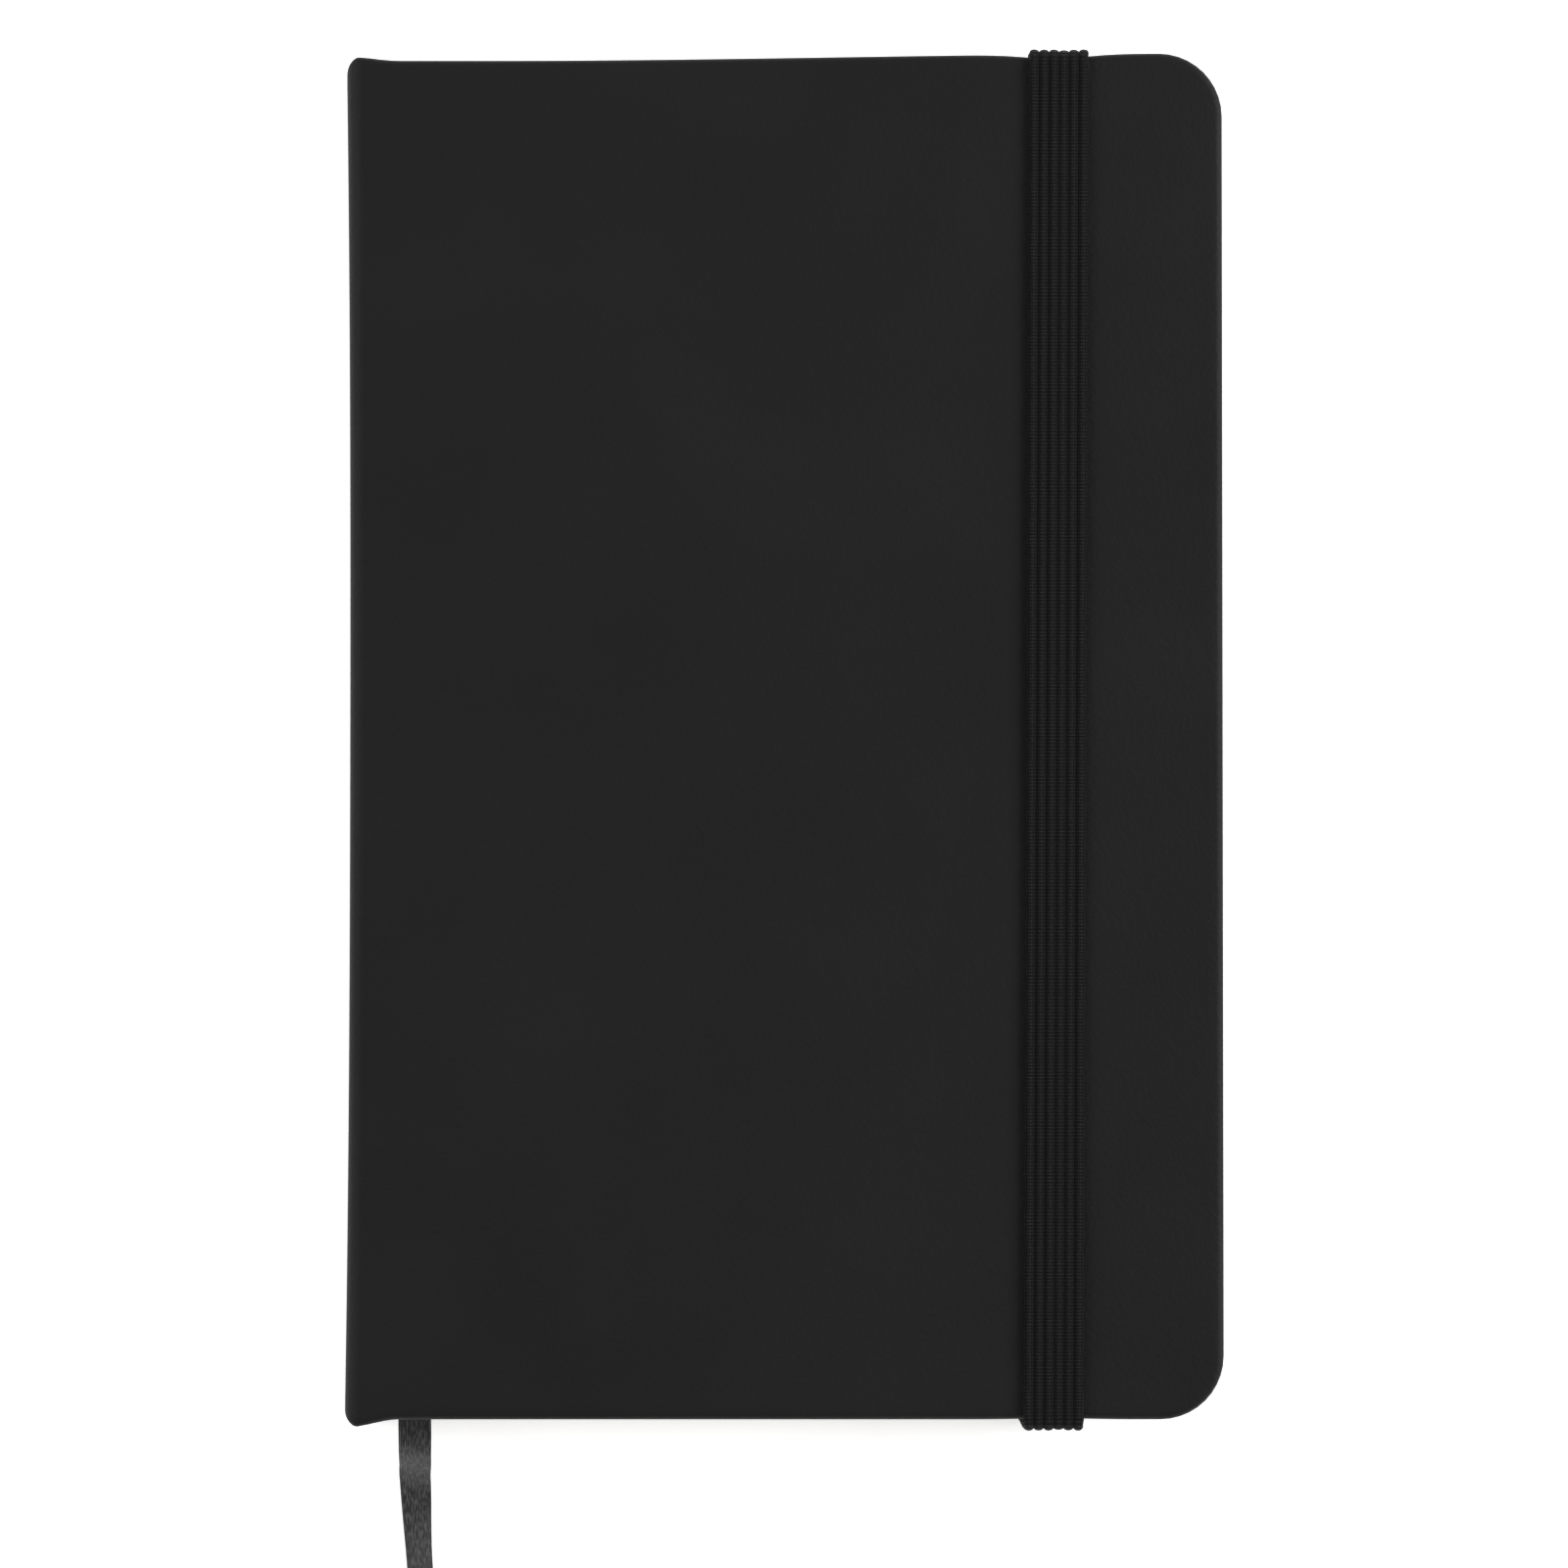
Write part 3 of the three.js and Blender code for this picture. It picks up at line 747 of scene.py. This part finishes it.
def band_path():
    """(y, z) of the band's middle line, from the head slot round the book to the tail slot."""
    bend_y = WRAP_Y - BEND
    low_z, high_z = BAND_CENTRE_BOTTOM + BEND, BAND_CENTRE_TOP - BEND
    quarter = spaced(0, math.pi / 2, BEND_STEPS)[1:]
    half = [Vector((SLOT_Y - 0.2 * MM, BACK_Z + 0.9 * MM)), Vector((SLOT_Y, BACK_Z + 0.2 * MM))]
    half.append(Vector((SLOT_Y + 0.7 * MM, BAND_CENTRE_BOTTOM)))
    half += [Vector((y, BAND_CENTRE_BOTTOM)) for y in spaced(SLOT_Y + 2 * MM, bend_y, 8)]
    half += [Vector((bend_y + BEND * math.sin(a), low_z - BEND * math.cos(a))) for a in quarter]
    half += [Vector((WRAP_Y, z)) for z in spaced(low_z, high_z, 18)[1:]]
    half += [Vector((bend_y + BEND * math.cos(a), high_z + BEND * math.sin(a))) for a in quarter]
    front = [Vector((y, BAND_CENTRE_TOP)) for y in spaced(bend_y, -bend_y, 150)[1:-1]]
    return half + front + [Vector((-p.x, p.y)) for p in reversed(half)]


def band_section():
    """(across, through) offsets: six plump ribs on both faces, beaded at the edges."""
    pitch = BAND_WIDTH / RIBS
    top = []
    for rib in range(RIBS):
        for step in range(SECTION_STEPS):
            t = step / SECTION_STEPS
            across = -BAND_WIDTH / 2 + (rib + t) * pitch
            swell = RIB_HEIGHTS[rib] * math.sin(math.pi * t) ** RIB_POWER
            height = BAND_THICKNESS / 2 * (RIB_BASE + RIB_RISE * swell)
            top.append((across, height if rib or step else EDGE_HEIGHT))
    top.append((BAND_WIDTH / 2, EDGE_HEIGHT))
    return top + [(x, -z) for x, z in reversed(top)]


def elastic_band():
    """The ribbed section swept along the path, a little skewed, with uneven beaded edges."""
    path, section = band_path(), band_section()
    count = len(section)
    vertices, faces, uv = [], [], []
    along = 0.0
    for i, point in enumerate(path):
        ahead = (path[min(i + 1, len(path) - 1)] - path[max(i - 1, 0)]).normalized()
        outward = Vector((ahead.y, -ahead.x))
        if i:
            along += (point - path[i - 1]).length
        centre = BAND_CENTRE + BAND_SKEW * point.x
        bead = BEAD * sum(math.sin(along / MM * FULL_TURN / period) for period in BEAD_PERIODS)
        for across, through in section:
            at_edge = abs(across) / (BAND_WIDTH / 2)
            wide = across * BAND_TRIM + bead * at_edge ** BEAD_POWER * (1 if across > 0 else -1)
            spot = point + outward * through
            vertices.append(Vector((centre + wide, spot.x, spot.y)))
            uv.append((across / MM, along / MM))
    for i in range(len(path) - 1):
        for k in range(count):
            n = (k + 1) % count
            faces.append((i * count + k, (i + 1) * count + k, (i + 1) * count + n, i * count + n))
    faces.append(tuple(reversed(range(count))))
    faces.append(tuple(range(len(vertices) - count, len(vertices))))
    piece = new_object("elastic_band", vertices, faces)
    uv_in_millimetres(piece, uv)
    return piece


band = elastic_band()
finish_with(band, ELASTIC)
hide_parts("band_front_span", "band_head_wrap", "band_tail_wrap", "band_head_anchor",
            "band_tail_anchor")
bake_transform(band)

# ---- CAD nodes that stay, with their own finish ----
KEPT = {
    "front_cover_board": GREYBOARD,
    "back_cover_board": GREYBOARD,
    "spine_card": GREYBOARD,
    "front_pastedown": PLAIN_PAPER,
    "back_pastedown": PLAIN_PAPER,
    "front_flyleaf": PLAIN_PAPER,
    "back_flyleaf": PLAIN_PAPER,
    "sewing_thread_front_half": THREAD,
    "sewing_thread_back_half": THREAD,
    "mull_front_half": GAUZE,
    "mull_back_half": GAUZE,
}
for node, material in KEPT.items():
    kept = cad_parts[node]
    kept.data.materials.clear()
    kept.data.materials.append(material)

# ---- floor and light ----
FLOOR_SIZE = 3.0
bpy.ops.mesh.primitive_plane_add(size=FLOOR_SIZE, location=(0, 0, 0))
floor = bpy.context.object
floor.name = "floor"
floor_look = Nodes("floor_white", 0.9, 0.1)
floor_look.shader.inputs["Base Color"].default_value = (0.93, 0.93, 0.93, 1)
floor_look.shader.inputs["Emission Color"].default_value = (1, 1, 1, 1)
floor_look.shader.inputs["Emission Strength"].default_value = 0.55
floor.data.materials.append(floor_look.material)


def soft_light(name, position, size, power):
    """A square area light aimed at the origin."""
    data = bpy.data.lights.new(name, "AREA")
    data.size = size
    data.energy = power
    light = bpy.data.objects.new(name, data)
    bpy.context.collection.objects.link(light)
    light.location = position
    light.rotation_euler = (-Vector(position)).to_track_quat("-Z", "Y").to_euler()


soft_light("key_right", (1.1, 0.25, 0.75), size=0.7, power=17)
soft_light("fill_left", (-1.1, 0.35, 0.8), size=0.9, power=9)

world = bpy.data.worlds.new("studio")
world.use_nodes = True
background = world.node_tree.nodes["Background"]
background.inputs["Color"].default_value = (1, 1, 1, 1)
background.inputs["Strength"].default_value = 0.45
bpy.context.scene.world = world
bpy.context.scene.view_settings.view_transform = "Standard"
